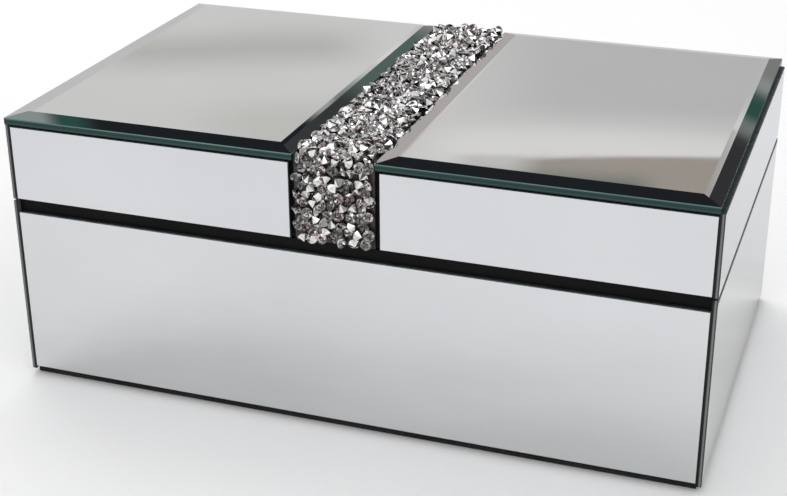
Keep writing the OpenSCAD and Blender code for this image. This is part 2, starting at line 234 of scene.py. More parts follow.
def silvered_glass(name, dark, light, haze=0.012, lean=None, at_seam=False):
    """Mirror glass: a faint cloudiness, finger haze in the roughness and the ripple of float glass.
    At the seam the silvering ends in a grey line and then a dark one, darkened with painted shade of
    the gap."""
    s = Shader(name).set(Metallic=1.0)
    silver = s.ramp(s.noise(9.0, 3.0), [(0.3, dark), (0.7, light)])
    if at_seam:
        height = s.along("Z", SEAM_Z - SEAM_REACH, SEAM_Z + SEAM_REACH)
        # The mirror is painted darker at the seam: painted shade of the gap between lid and base
        silver = s.mix(1.0, silver, s.ramp(height, SEAM_EDGE_AND_PAINTED_SHADE), "MULTIPLY")
        s.link(s.ramp(height, SEAM_SILVER), s.bsdf.inputs["Metallic"])
        s.set(Specular_IOR_Level=0.0)
    s.colour(silver)
    s.rough(s.spread(s.noise(60.0, 6.0, 0.7), haze, haze * 3.0, 0.45, 0.8))
    normal = None if lean is None else leaning(s, *lean)
    return s.bump(s.noise(14.0, 1.0), 0.00002, 1.0, normal).material


def leaning(s, low_x, high_x, side):
    """Normal that leans half a bevel towards side (-1 or 1) for low_x..high_x: light that crosses
    the bevel only once, on its way in or out of the glass."""
    half = math.atan2(BEVEL_DROP, BEVEL_W) / 2
    past_low = s.along("X", low_x - STRIP_SOFT, low_x + STRIP_SOFT)
    past_high = s.along("X", high_x - STRIP_SOFT, high_x + STRIP_SOFT)
    inside = s.math("SUBTRACT", past_low, past_high)
    own = s.node("ShaderNodeTexCoord").outputs["Normal"]
    lean = s.node("ShaderNodeMix", data_type="VECTOR")
    s.link(inside, lean.inputs[0])
    s.link(own, lean.inputs[4])
    lean.inputs[5].default_value = (side * math.sin(half), 0.0, math.cos(half))
    turn = s.node("ShaderNodeVectorTransform", vector_type="NORMAL")
    turn.convert_from = "OBJECT"
    turn.convert_to = "WORLD"
    s.link(lean.outputs[1], turn.inputs[0])
    return turn.outputs[0]


def edge_glass(name, low_z, high_z):
    """Polished green edge of a slab: darker towards the silvering and with pale lines at both arrises,
    painted shade and painted highlights.
    """
    s = Shader(name).set(Metallic=0.0, IOR=1.5, Specular_IOR_Level=0.3)
    # The green is the glass's own; the dark bands are painted shade and the pale lines painted
    # highlights of the arrises
    bands_with_painted_light = s.ramp(s.along("Z", low_z, high_z), [
        (0.00, (0.002, 0.008, 0.008)), (0.10, (0.003, 0.012, 0.012)),
        (0.18, (0.045, 0.105, 0.095)), (0.30, (0.008, 0.048, 0.038)),
        (0.62, (0.004, 0.034, 0.026)), (0.80, (0.022, 0.080, 0.068)),
        (0.92, (0.200, 0.330, 0.310)), (1.00, (0.080, 0.150, 0.140)),
    ])
    drift = s.noise(18.0, 3.0, stretch=(1, 1, 6))
    s.colour(s.mix(s.spread(drift, 0.0, 0.5), bands_with_painted_light, (0.006, 0.030, 0.034)))
    return s.rough(s.spread(s.noise(300.0, 3.0), 0.10, 0.28)).material


def side_edge(name, inner_x, outer_x):
    """Edge of a side mirror at the box's corner: a black joint, the grey ground glass, a dark arris
    that is a painted dark reflection.
    """
    s = Shader(name).set(Metallic=0.0, IOR=1.5, Specular_IOR_Level=0.3)
    # The outer dark band is a painted dark reflection in the arris; the black joint and grey glass are
    # the edge's own
    bands_with_painted_light = s.ramp(s.along("X", *sorted((inner_x, outer_x))), mirrored([
        (0.00, 0.004), (0.36, 0.005), (0.46, (0.15, 0.175, 0.17)),
        (0.72, (0.20, 0.22, 0.22)), (0.82, (0.02, 0.03, 0.03)), (1.00, (0.012, 0.018, 0.018)),
    ], inner_x > outer_x))
    wear = s.ramp(s.noise(240.0, 4.0, stretch=(1, 1, 0.15)), [(0.3, 0.75), (0.7, 1.0)])
    s.colour(s.mix(1.0, bands_with_painted_light, wear, "MULTIPLY"))
    s.rough(s.spread(s.noise(500.0, 3.0), 0.25, 0.5))
    return s.bump(s.noise(900.0, 2.0, stretch=(1, 1, 0.1)), 0.00004).material


def mirrored(stops, turned):
    """A ramp's stops, end for end when turned."""
    return [(1.0 - p, c) for p, c in reversed(stops)] if turned else stops


def ground_edge(name, dark, light):
    """Ground edge of an upright mirror: grey, dull, with fine grinding marks along it."""
    s = Shader(name).set(Metallic=0.0, IOR=1.5)
    s.colour(s.ramp(s.noise(240.0, 4.0, stretch=(1, 1, 0.15)), [(0.3, dark), (0.7, light)]))
    s.rough(s.spread(s.noise(500.0, 3.0), 0.25, 0.5))
    return s.bump(s.noise(900.0, 2.0, stretch=(1, 1, 0.1)), 0.00004).material


def backing_paint():
    s = Shader("backing_paint").set(Metallic=0.0)
    s.colour(s.ramp(s.noise(120.0, 5.0), [(0.3, 0.055), (0.7, 0.085)]))
    s.rough(s.spread(s.noise(400.0, 4.0), 0.5, 0.75))
    return s.bump(s.noise(1500.0, 3.0), 0.00005).material


def painted_board():
    """Fibreboard under matt black paint: a fine orange peel, dust in the hollows, rubbed patches."""
    s = Shader("painted_board").set(Metallic=0.0, IOR=1.45, Specular_IOR_Level=0.12)
    fine = s.noise(1800.0, 4.0, 0.6)
    base = s.ramp(s.noise(45.0, 6.0, 0.65), [(0.3, 0.0030), (0.7, 0.0060)])
    s.colour(s.mix(s.spread(fine, 0.0, 0.25, 0.6, 0.8), base, 0.022))
    s.rough(s.spread(s.noise(90.0, 5.0), 0.38, 0.62))
    return s.bump(fine, 0.00006).material


def pile_fabric(name, deep, lit, pile_scale, sheen, nap=14.0):
    """Short pile: fine fibre bump, a sheen towards the edges, and patches brushed either way."""
    s = Shader(name).set(Metallic=0.0, Sheen_Weight=sheen, Sheen_Roughness=0.35, IOR=1.3)
    s.set(Sheen_Tint=(0.75, 0.78, 0.85, 1.0))
    s.set(Specular_IOR_Level=0.15)
    fibre = s.noise(pile_scale, 5.0, 0.75)
    brushed = s.noise(nap, 4.0, 0.5, 0.8)
    base = s.ramp(brushed, [(0.36, deep), (0.66, lit)])
    s.colour(s.mix(s.spread(fibre, 0.0, 0.8, 0.35, 0.75), base, tuple(2.4 * c for c in lit)))
    s.rough(s.spread(brushed, 0.8, 1.0))
    height = s.math("ADD", fibre, s.math("MULTIPLY", brushed, 0.6))
    return s.bump(height, 0.00025).material


def nickel():
    """Nickel plate: drawn lines along the hinge, small stains, a rounded shine."""
    s = Shader("nickel").set(Metallic=1.0)
    lines = s.noise(700.0, 3.0, stretch=(0.04, 1, 1))
    stains = [(0.3, (0.42, 0.40, 0.37)), (0.7, (0.66, 0.64, 0.60))]
    s.colour(s.ramp(s.noise(160.0, 5.0), stains))
    s.rough(s.spread(lines, 0.16, 0.42))
    return s.bump(lines, 0.00002).material


def glue_bed():
    """Near-black glue and mesh under the stones, with a brown cast and wet highlights."""
    s = Shader("glue_bed").set(Metallic=0.0, IOR=1.5, Coat_Weight=0.3, Coat_Roughness=0.2)
    shades = [(0.3, (0.006, 0.004, 0.004)), (0.7, (0.040, 0.026, 0.024))]
    s.colour(s.ramp(s.noise(220.0, 5.0), shades))
    s.rough(s.spread(s.noise(500.0, 4.0), 0.3, 0.7))
    return s.bump(s.noise(420.0, 4.0), 0.0004).material


def stone_material(name, metallic, low_rough, high_rough):
    """Facets take their colour, with its painted glints and dark reflections, from the mesh, a little
    clouded, under a clear glassy coat.
    """
    s = Shader(name).set(Metallic=metallic, Coat_Weight=0.5, Coat_Roughness=0.03, IOR=1.54)
    facet = s.node("ShaderNodeAttribute", attribute_name="facet_tint_and_glint").outputs["Color"]
    cloud = s.ramp(s.noise(900.0, 3.0), [(0.25, 0.72), (0.7, 1.0)])
    s.colour(s.mix(1.0, facet, cloud, "MULTIPLY"))
    return s.rough(s.spread(s.noise(700.0, 3.0), low_rough, high_rough)).material


UPRIGHT_SHADES = ((0.69, 0.705, 0.72), (0.73, 0.745, 0.76))
UPRIGHT_MIRROR = silvered_glass("upright_mirror", *UPRIGHT_SHADES)
SIDE_MIRROR = silvered_glass("side_mirror", *UPRIGHT_SHADES, at_seam=True)
SLAB_SHADES = ((0.75, 0.755, 0.745), (0.80, 0.805, 0.80), 0.012)
BEVEL_SHADES = ((0.70, 0.72, 0.71), (0.78, 0.79, 0.78), 0.016)


def slab_glass(name, low_x, high_x, strip):
    """Face and bevel of one slab, each with the strip that light crosses the bevel once for."""
    left, right = low_x + BEVEL_W, high_x - BEVEL_W
    face = silvered_glass(name + "_face", *SLAB_SHADES, (left - MM, left + strip, -1))
    bevel = silvered_glass(name + "_bevel", *BEVEL_SHADES)
    right_bevel = silvered_glass(
        name + "_right_bevel", *BEVEL_SHADES, (right - MM, right + BEVEL_STRIP, 1)
    )
    return face, bevel, right_bevel


LEFT_GLASS = slab_glass("left_slab", SLAB_LOW.x, SLAB_HIGH.x, LEFT_FACE_STRIP)
RIGHT_GLASS = slab_glass("right_slab", RIGHT_LOW.x, RIGHT_HIGH.x, RIGHT_FACE_STRIP)
LEFT_EDGE = side_edge("left_edge", BODY_LOW.x + MIRROR_T, BODY_LOW.x)
RIGHT_EDGE = side_edge("right_edge", BODY_HIGH.x - MIRROR_T, BODY_HIGH.x)
SLAB_EDGE = edge_glass("slab_edge", SLAB_LOW.z, EDGE_TOP_Z)
MIRROR_EDGE = ground_edge("mirror_edge", (0.006, 0.008, 0.009), (0.022, 0.026, 0.027))
# The arrises' near-black colour is a painted dark reflection
MIRROR_ARRIS = ground_edge("mirror_arris", (0.006, 0.010, 0.010), (0.030, 0.038, 0.038))
BACKING = backing_paint()
BOARD = painted_board()
VELVET = pile_fabric("velvet", (0.0025, 0.0025, 0.003), (0.012, 0.012, 0.014), 3200.0, 0.9)
FELT = pile_fabric("felt", (0.006, 0.006, 0.006), (0.020, 0.020, 0.020), 1500.0, 0.3, 40.0)
NICKEL = nickel()
GLUE = glue_bed()
FOIL = stone_material("stone_foil", 1.0, 0.06, 0.22)
CRYSTAL = stone_material("stone_crystal", 0.75, 0.02, 0.12)


# ---------------------------------------------------------------- CAD nodes that stay

def paint(node, *materials):
    """The CAD node's own materials, in the order that its kind function numbers them."""
    mesh = NODES[node].data
    mesh.materials.clear()
    for material in materials:
        mesh.materials.append(material)
    return mesh


def paint_by_normal(node, kind_of, *materials):
    mesh = paint(node, *materials)
    for polygon in mesh.polygons:
        polygon.material_index = kind_of(polygon.normal)


def upright_kind(outward):
    """0 silvered face, 1 arris or level edge, 2 upright ground edge, 3 painted back."""
    def kind(normal):
        lean = normal.dot(outward)
        if lean > 0.99:
            return 0
        if lean > 0.3 or abs(normal.z) > 0.5:
            return 1
        return 3 if lean < -0.99 else 2
    return kind


def slab_kind(normal):
    """0 silvered face, 1 bevel, 2 bevel that leans right, 3 polished edge, 4 painted back."""
    if normal.z > 0.999:
        return 0
    if normal.z > 0.5:
        return 2 if normal.x > 0.05 else 1
    return 4 if normal.z < -0.5 else 3


FACING = {
    "base_front_mirror": (0, -1, 0), "base_back_mirror": (0, 1, 0),
    "base_left_mirror": (-1, 0, 0), "base_right_mirror": (1, 0, 0),
    "lid_front_left_mirror": (0, -1, 0), "lid_front_right_mirror": (0, -1, 0),
    "lid_back_mirror": (0, 1, 0), "lid_left_mirror": (-1, 0, 0), "lid_right_mirror": (1, 0, 0),
}
EDGE_OF = {-1: LEFT_EDGE, 0: MIRROR_EDGE, 1: RIGHT_EDGE}
for node_name, facing in FACING.items():
    glass = SIDE_MIRROR if facing[0] else UPRIGHT_MIRROR
    paint_by_normal(
        node_name, upright_kind(Vector(facing)), glass, MIRROR_ARRIS, EDGE_OF[facing[0]], BACKING
    )
paint_by_normal("top_left_slab", slab_kind, *LEFT_GLASS, SLAB_EDGE, BACKING)
paint_by_normal("top_right_slab", slab_kind, *RIGHT_GLASS, SLAB_EDGE, BACKING)

BOARDS = (
    "base_bottom_board", "base_front_wall", "base_back_wall", "base_left_wall", "base_right_wall",
    "lid_board", "lid_front_rail", "lid_back_rail", "lid_left_rail", "lid_right_rail",
)
HINGE_PARTS = (
    "left_hinge_base_leaf", "right_hinge_base_leaf", "hinge_pins", "base_hinge_screws",
    "left_hinge_lid_leaf", "right_hinge_lid_leaf", "lid_hinge_screws",
)
for node_name in BOARDS:
    paint(node_name, BOARD)
for node_name in HINGE_PARTS:
    paint(node_name, NICKEL)
for node_name in ("top_stone_bed", "front_stone_bed"):
    paint(node_name, GLUE)


# ---------------------------------------------------------------- new pieces

def add_piece(name, mesh, body, slot, *replaced):
    piece = bpy.data.objects.new(name, mesh)
    bpy.context.scene.collection.objects.link(piece)
    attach(piece, body)
    if replaced:
        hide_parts(*replaced)
    return piece


def mesh_from(name, points, faces, material):
    """Smooth closed mesh with its faces turned outwards."""
    mesh = bpy.data.meshes.new(name)
    mesh.from_pydata([tuple(p) for p in points], [], faces)
    mesh.validate()
    bm = bmesh.new()
    bm.from_mesh(mesh)
    bmesh.ops.recalc_face_normals(bm, faces=bm.faces)
    bm.to_mesh(mesh)
    bm.free()
    for polygon in mesh.polygons:
        polygon.use_smooth = True
    mesh.materials.append(material)
    return mesh


def skin_rings(first, rings, around):
    """Faces between rings of points that start at the point first, with a cap at both ends."""
    faces = []
    for k in range(rings - 1):
        a, b = first + k * around, first + (k + 1) * around
        for i in range(around):
            j = (i + 1) % around
            faces.append((a + i, a + j, b + j, b + i))
    last = first + (rings - 1) * around
    faces.append(tuple(range(first, first + around)))
    faces.append(tuple(range(last, last + around)))
    return faces


def ring_points(radius, z, count, start=0.0):
    """Points of a level ring, turned by start steps."""
    step = 2 * math.pi / count
    angles = [(i + start) * step for i in range(count)]
    return [Vector((radius * math.cos(a), radius * math.sin(a), z)) for a in angles]


# ---------------------------------------------------------------- velvet boards

def stops_across(length, margin, step):
    """Places across a board: close together over the rounded margins, then at about one step."""
    curve = [margin * (1 - math.cos(math.radians(a))) for a in (0, 30, 60, 90)]
    inner = length - 2 * margin
    count = max(1, round(inner / step))
    middle = [margin + inner * i / count for i in range(1, count)]
    return curve + middle + [length - c for c in reversed(curve)]


def rounded(distance, margin):
    """Share of the full thickness at a distance from the edge."""
    t = min(1.0, distance / margin)
    return math.sqrt(max(0.0, 1.0 - (1.0 - t) ** 2))


def board_ripple(u, v, phase):
    """Uneven drape of the fabric over a board, about -3 to 3."""
    waves = (60.0, 140.0, 310.0)
    return sum(
        math.sin(u * f + phase[i]) * math.cos(v * f * 1.3 + phase[i + 3])
        for i, f in enumerate(waves)
    )


def board_faces(nu, nv):
    """Both sides of a board whose points are two nu by nv grids, and the rim between them."""
    def at(side, i, j):
        return (side * nu + i) * nv + j

    cells = itertools.product((0, 1), range(nu - 1), range(nv - 1))
    faces = [
        (at(side, i, j), at(side, i + 1, j), at(side, i + 1, j + 1), at(side, i, j + 1))
        for side, i, j in cells
    ]
    rim = [(i, 0) for i in range(nu)] + [(nu - 1, j) for j in range(1, nv)]
    rim += [(i, nv - 1) for i in range(nu - 2, -1, -1)] + [(0, j) for j in range(nv - 2, 0, -1)]
    for a, b in zip(rim, rim[1:] + rim[:1]):
        faces.append((at(0, *a), at(0, *b), at(1, *b), at(1, *a)))
    return faces


def covered_board(node, body, material, slot, out, margin=0.9 * MM, wave=0.12 * MM, step=6 * MM):
    """A thin board with fabric drawn round its edges, in its CAD node's place. out is the shown
    side's direction along the thin axis, or None for a board that shows both."""
    low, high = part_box(node)
    size = high - low
    thin = min(range(3), key=lambda k: size[k])
    u_axis, v_axis = [k for k in range(3) if k != thin]
    us = stops_across(size[u_axis], margin, step)
    vs = stops_across(size[v_axis], margin, step)
    phase = np.random.default_rng(sum(ord(c) for c in node)).uniform(0, 6.28, 6)
    points = []
    for side, u, v in itertools.product((1, -1), us, vs):
        edge = min(u, v, size[u_axis] - u, size[v_axis] - v)
        share = rounded(edge, margin)
        depth = size[thin] / 2 * (0.35 + 0.65 * share)
        if out is None or side == out:
            depth -= wave * share * (0.5 + 0.16 * board_ripple(u, v, phase))
        point = [0.0, 0.0, 0.0]
        point[u_axis] = low[u_axis] + u
        point[v_axis] = low[v_axis] + v
        point[thin] = (low[thin] + high[thin]) / 2 + side * depth
        points.append(point)
    mesh = mesh_from(node + "_cover", points, board_faces(len(us), len(vs)), material)
    add_piece(node + "_cover", mesh, body, slot, node)


for node_name, out in (
    ("floor_lining", 1), ("front_wall_lining", 1), ("back_wall_lining", -1),
    ("left_wall_lining", 1), ("right_wall_lining", -1), ("ring_pad_base", 1),
):
    covered_board(node_name, "base", VELVET, "velvet", out)
for node_name, out in (
    ("lid_lining", -1), ("lid_front_lining", 1), ("lid_back_lining", -1),
    ("lid_left_lining", 1), ("lid_right_lining", -1),
):
    covered_board(node_name, "lid", VELVET, "velvet", out)
covered_board("felt_base", "base", FELT, "felt", None, 0.6 * MM, 0.05 * MM, 12 * MM)


PAD_R = 2.5 * MM


def rest_pads():
    """Two felt discs on the base's rim, rounded at the top edge and slightly uneven."""
    low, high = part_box("lid_rest_pads")
    y = (low.y + high.y) / 2
    around = 32
    rings = ((1.0, 0.0), (1.0, 0.6), (0.95, 0.88), (0.84, 1.0), (0.45, 0.97))
    points, faces = [], []
    for side, x in enumerate((low.x + PAD_R, high.x - PAD_R)):
        faces += skin_rings(len(points), len(rings), around)
        for (share, rise), i in itertools.product(rings, range(around)):
            a = 2 * math.pi * i / around
            r = PAD_R * share * (0.985 + 0.015 * math.sin(5 * a + side))
            z = low.z + (high.z - low.z) * rise
            points.append((x + r * math.cos(a), y + r * math.sin(a), z))
    mesh = mesh_from("rest_pads", points, faces, FELT)
    add_piece("rest_pads", mesh, "base", "felt", "lid_rest_pads")


rest_pads()


DIVIDER_MARGIN = 0.8 * MM


def divider_outline(radius, rise):
    """Cross-section in x and z: flat sides and a rounded top."""
    outline = [(-radius, 0.0), (radius, 0.0)]
    outline += [(radius, rise * k / 8) for k in range(1, 8)]
    for a in range(0, 181, 15):
        turn = math.radians(a)
        outline.append((radius * math.cos(turn), rise + radius * math.sin(turn)))
    outline += [(-radius, rise * k / 8) for k in range(7, 0, -1)]
    return outline


def divider_cover():
    """The divider's velvet, with a slight wander along its length."""
    low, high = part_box("divider")
    length = high.y - low.y
    radius = (high.x - low.x) / 2
    middle = (low.x + high.x) / 2
    rise = high.z - low.z - radius
    outline = divider_outline(radius, rise)
    stations = stops_across(length, DIVIDER_MARGIN, 4 * MM)
    points = []
    for y, (x, z) in itertools.product(stations, outline):
        squeeze = 0.7 + 0.3 * rounded(min(y, length - y), DIVIDER_MARGIN)
        wander = 0.12 * MM * math.sin(y * 75 + z * 90) * (z / rise)
        side = x * squeeze * 0.94 + wander * 0.5
        points.append((middle + side, low.y + y, low.z + z - 0.1 * MM * (z / rise)))
    faces = skin_rings(0, len(stations), len(outline))
    mesh = mesh_from("divider_cover", points, faces, VELVET)
    add_piece("divider_cover", mesh, "base", "velvet", "divider")


divider_cover()


# ---------------------------------------------------------------- ring rolls

ROLL_COUNT = 9
ROLL_SEED = 40
ROLL_LOW, ROLL_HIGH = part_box("ring_rolls")
ROLL_RADIUS = (ROLL_HIGH.z - ROLL_LOW.z) / 2
ROLL_PITCH = (ROLL_HIGH.y - ROLL_LOW.y - 2 * ROLL_RADIUS) / (ROLL_COUNT - 1)
ROLL_AROUND = 28
ROLL_ALONG = 40
ROLL_DOME = 3.6 * MM
HELD_UNDER = 2.5 * MM
PUFF_FRAMES = 12
PUFF_CAP = 0.35 * MM


def roll_mesh(name, y, seed):
    """A slack roll: a closed tube along X with domed, gathered ends."""
    length = ROLL_HIGH.x - ROLL_LOW.x
    rng = random.Random(seed)
    gather_phase, slack_phase = [rng.uniform(0, 6.28) for _ in range(2)]
    centre_z = ROLL_LOW.z + ROLL_RADIUS
    points = []
    for k in range(ROLL_ALONG + 1):
        x = length * (0.5 - 0.5 * math.cos(math.pi * k / ROLL_ALONG))
        dome = rounded(min(x, length - x) + 0.25 * MM, ROLL_DOME)
        for i in range(ROLL_AROUND):
            a = 2 * math.pi * i / ROLL_AROUND
            gather = 0.25 * MM * math.sin(9 * a + gather_phase) * (1 - dome)
            slack = 0.16 * MM * math.sin(x * 210 + slack_phase + 2 * a)
            r = ROLL_RADIUS * 0.955 * (0.42 + 0.58 * dome) + gather + slack * dome
            points.append((ROLL_LOW.x + x, y + r * math.cos(a), centre_z + r * math.sin(a)))
    return mesh_from(name, points, skin_rings(0, ROLL_ALONG + 1, ROLL_AROUND), VELVET)


def add_cloth(piece):
    """Cloth under pressure, held along the roll's underside."""
    group = piece.vertex_groups.new(name="held")
    top_held = min(v.co.z for v in piece.data.vertices) + HELD_UNDER
    group.add([v.index for v in piece.data.vertices if v.co.z < top_held], 1.0, "REPLACE")
    cloth = piece.modifiers.new("puff", "CLOTH")
    settings = cloth.settings
    settings.quality = 4
    settings.mass = 0.15
    settings.tension_stiffness = 12
    settings.compression_stiffness = 12
    settings.bending_stiffness = 0.4
    settings.use_pressure = True
    settings.uniform_pressure_force = 3.0
    settings.effector_weights.gravity = 0.0
    settings.vertex_group_mass = "held"
    cloth.collision_settings.use_self_collision = False
    return cloth


def puff(piece):
    """The roll fills out and wrinkles a little where it is held underneath."""
    cloth = add_cloth(piece)
    before = np.array([v.co for v in piece.data.vertices])
    scene = bpy.context.scene
    for step in range(1, PUFF_FRAMES + 1):
        scene.frame_set(step)
    evaluated = piece.evaluated_get(bpy.context.evaluated_depsgraph_get())
    after = np.array([v.co for v in evaluated.data.vertices])
    piece.modifiers.remove(cloth)
    scene.frame_set(1)
    shift = after - before
    reach = np.linalg.norm(shift, axis=1, keepdims=True)
    shift *= np.minimum(1.0, PUFF_CAP / np.maximum(reach, 1e-9))
    for vertex, co in zip(piece.data.vertices, before + shift):
        vertex.co = co
    piece.data.update()


def make_rolls():
    for k in range(ROLL_COUNT):
        name = f"ring_roll_{k + 1}"
        y = ROLL_LOW.y + ROLL_RADIUS + k * ROLL_PITCH
        piece = bpy.data.objects.new(name, roll_mesh(name, y, ROLL_SEED + k))
        bpy.context.scene.collection.objects.link(piece)
        puff(piece)
        smooth = piece.modifiers.new("smooth", "SUBSURF")
        smooth.levels = smooth.render_levels = 1
        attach(piece, "base")
        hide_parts("ring_rolls")


make_rolls()


# ---------------------------------------------------------------- stones

STONE_R = 2.3 * MM
STONE_STEP = 3.95 * MM
STONE_GAP = 3.45 * MM
STONE_STRAY = 0.9 * MM
CROWN_H = 0.36 * STONE_R
TABLE_R = 0.58 * STONE_R
PAVILION = 0.98 * STONE_R
SIDES = 8
STONE_SEED = 23
ROSE_SHARE = 0.3

TOP_LOW, TOP_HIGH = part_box("top_stone_bed")
FRONT_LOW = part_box("front_stone_bed")[0]
BAND_X = (TOP_LOW.x + TOP_HIGH.x) / 2
BAND_W = TOP_HIGH.x - TOP_LOW.x
CORNER_R = 1.6 * MM
STONE_RISE = 0.8 * STONE_R
TOP_RUN = TOP_HIGH.y - FRONT_LOW.y - CORNER_R
CORNER_RUN = (CORNER_R + STONE_RISE) * math.pi / 2
FRONT_RUN = TOP_HIGH.z - CORNER_R - FRONT_LOW.z


def along_band(s):
    """Point on the bed's surface and its outward normal, at s from the back edge over the front edge
    and down."""
    if s < TOP_RUN:
        return Vector((BAND_X, TOP_HIGH.y - s, TOP_HIGH.z)), Vector((0, 0, 1))
    if s < TOP_RUN + CORNER_RUN:
        a = (s - TOP_RUN) / (CORNER_R + STONE_RISE)
        normal = Vector((0, -math.sin(a), math.cos(a)))
        centre = Vector((BAND_X, FRONT_LOW.y + CORNER_R, TOP_HIGH.z - CORNER_R))
        return centre + normal * CORNER_R, normal
    down = s - TOP_RUN - CORNER_RUN
    return Vector((BAND_X, FRONT_LOW.y, TOP_HIGH.z - CORNER_R - down)), Vector((0, -1, 0))


def scattered(rng, run):
    """Centres on the unrolled band: a jittered close packing, pushed apart until none crowd."""
    row_step = STONE_STEP * math.sin(math.radians(60))
    half = BAND_W / 2 - 0.80 * STONE_R
    end = 0.85 * STONE_R
    rows = round((run - 2 * end) / row_step) + 1
    across = int(2 * half / STONE_STEP) + 1
    places = []
    for row in range(rows):
        count = across - row % 2
        for col in range(count):
            x = (col - (count - 1) / 2) * (2 * half / (across - 1))
            s = end + row * (run - 2 * end) / (rows - 1)
            x += rng.uniform(-STONE_STRAY, STONE_STRAY)
            s += rng.uniform(-STONE_STRAY, STONE_STRAY)
            places.append([x, s])
    points = np.array(places)
    for _ in range(8):
        apart = points[:, None, :] - points[None, :, :]
        distance = np.linalg.norm(apart, axis=2) + np.eye(len(points))
        short = np.clip(STONE_GAP - distance, 0, None) * (1 - np.eye(len(points)))
        points += 0.25 * (apart / distance[..., None] * short[..., None]).sum(axis=1)
        points[:, 0] = np.clip(points[:, 0], -half, half)
        points[:, 1] = np.clip(points[:, 1], end, run - end)
    return points


def stone_shape():
    """Points and faces of one brilliant-cut stone. A face is (indices, part): part 0 table star,
    1 crown, 2 girdle, 3 foiled back. The table is a shallow star, which is what shows through it."""
    n = SIDES
    points = [Vector((0, 0, CROWN_H - 0.42 * STONE_R))]
    points += ring_points(0.30 * STONE_R, CROWN_H - 0.30 * STONE_R, n)
    points += ring_points(TABLE_R, CROWN_H, n, 0.5)
    points += ring_points(0.82 * STONE_R, 0.50 * CROWN_H, n)
    points += ring_points(STONE_R, 0.07 * STONE_R, 2 * n)
    points += ring_points(STONE_R, -0.05 * STONE_R, 2 * n)
    points.append(Vector((0, 0, -PAVILION)))
    star, table, kite = 1, 1 + n, 1 + 2 * n
    upper, lower, tip = 1 + 3 * n, 1 + 5 * n, 1 + 7 * n
    faces = []
    for i in range(n):
        j = (i + 1) % n
        h = (i - 1) % n
        faces.append(((0, star + i, star + j), 0))
        faces.append(((star + i, table + i, star + j), 0))
        faces.append(((star + i, table + h, table + i), 0))
        faces.append(((table + h, kite + i, table + i), 1))
        faces.append(((table + i, kite + i, upper + 2 * i + 1, kite + j), 1))
        faces.append(((kite + i, upper + 2 * i, upper + 2 * i + 1), 1))
        faces.append(((kite + i, upper + (2 * i - 1) % (2 * n), upper + 2 * i), 1))
        faces.append(((tip, lower + 2 * i + 1, lower + (2 * i - 1) % (2 * n)), 3))
        faces.append(((lower + (2 * i - 1) % (2 * n), lower + 2 * i + 1, lower + 2 * i), 3))
    for k in range(2 * n):
        m = (k + 1) % (2 * n)
        faces.append(((upper + k, lower + k, lower + m, upper + m), 2))
    return points, faces


STONE_POINTS, STONE_FACES = stone_shape()
SILVER = (1.0, 0.985, 0.965)
CLEAR = (1.0, 0.975, 0.945)
ROSE = (1.0, 0.86, 0.84)


def facet_tint_and_glint(part, glass, tint, rng):
    """Colour of one facet: the stone's tint with painted glints and painted dark reflections. Foiled
    backs are silver with a few painted dark ones; glass facets vary with the stone's painted
    brightness."""
    # Facet brightness is painted glints and painted dark reflections; the tint is the stone's own
    if part == 3:
        shade, tint = rng.choice((0.98, 0.98, 0.96, 0.94, 0.40, 0.12)), SILVER
    elif part == 2:
        shade = 0.55
    elif part == 0:
        shade = glass * rng.choice((0.15, 0.5, 0.9, 2.4))
    else:
        shade = glass * rng.choice((0.3, 0.6, 1.0, 1.6, 2.8))
    return tuple(min(1.0, shade * c) for c in tint)


def random_tilt(rng, upright):
    """How far a stone leans from table-out: a little, half over, or right over."""
    u = rng.random()
    if u < upright:
        return math.radians(rng.gauss(0, 16))
    if u < upright + 0.10:
        return math.radians(rng.uniform(35, 70))
    return math.radians(rng.uniform(85, 160))


def stone_place(x, s, rng, upright):
    """One stone's matrix, at x across the band and s along it."""
    spot, normal = along_band(s)
    tilt = random_tilt(rng, upright)
    turn = rng.uniform(0, 2 * math.pi)
    spin = rng.uniform(0, 2 * math.pi)
    size = rng.uniform(0.94, 1.02)
    lift = STONE_RISE + rng.uniform(-0.35, 0.35) * STONE_R
    lean = Matrix.Rotation(turn, 4, "Z") @ Matrix.Rotation(tilt, 4, "X")
    lean = lean @ Matrix.Rotation(spin, 4, "Z")
    stand = Vector((0, 0, 1)).rotation_difference(normal).to_matrix().to_4x4()
    centre = Matrix.Translation(spot + Vector((x, 0, 0)) + normal * lift)
    return centre @ stand @ lean @ Matrix.Scale(size, 4)


def build_stones(name, places, node, rng, upright, shades):
    """Stones at their places on the band. upright is the share that lie table-out, and shades the
    range of their glass's painted brightness."""
    points, faces, kinds, colours = [], [], [], []
    for x, s in places:
        place = stone_place(x, s, rng, upright)
        first = len(points)
        points += [place @ p for p in STONE_POINTS]
        tint = ROSE if rng.random() < ROSE_SHARE else CLEAR
        glass = rng.uniform(*shades)
        for indices, part in STONE_FACES:
            faces.append(tuple(first + i for i in indices))
            kinds.append(0 if part == 3 else 1)
            colours.append(facet_tint_and_glint(part, glass, tint, rng))
    mesh = bpy.data.meshes.new(name)
    mesh.from_pydata([tuple(p) for p in points], [], faces)
    mesh.materials.append(FOIL)
    mesh.materials.append(CRYSTAL)
    layer = mesh.color_attributes.new("facet_tint_and_glint", "FLOAT_COLOR", "CORNER")
    for polygon, kind, colour in zip(mesh.polygons, kinds, colours):
        polygon.material_index = kind
        polygon.use_smooth = False
        for loop in polygon.loop_indices:
            layer.data[loop].color = (*colour, 1.0)
    add_piece(name, mesh, "lid", "faceted_stone", node)


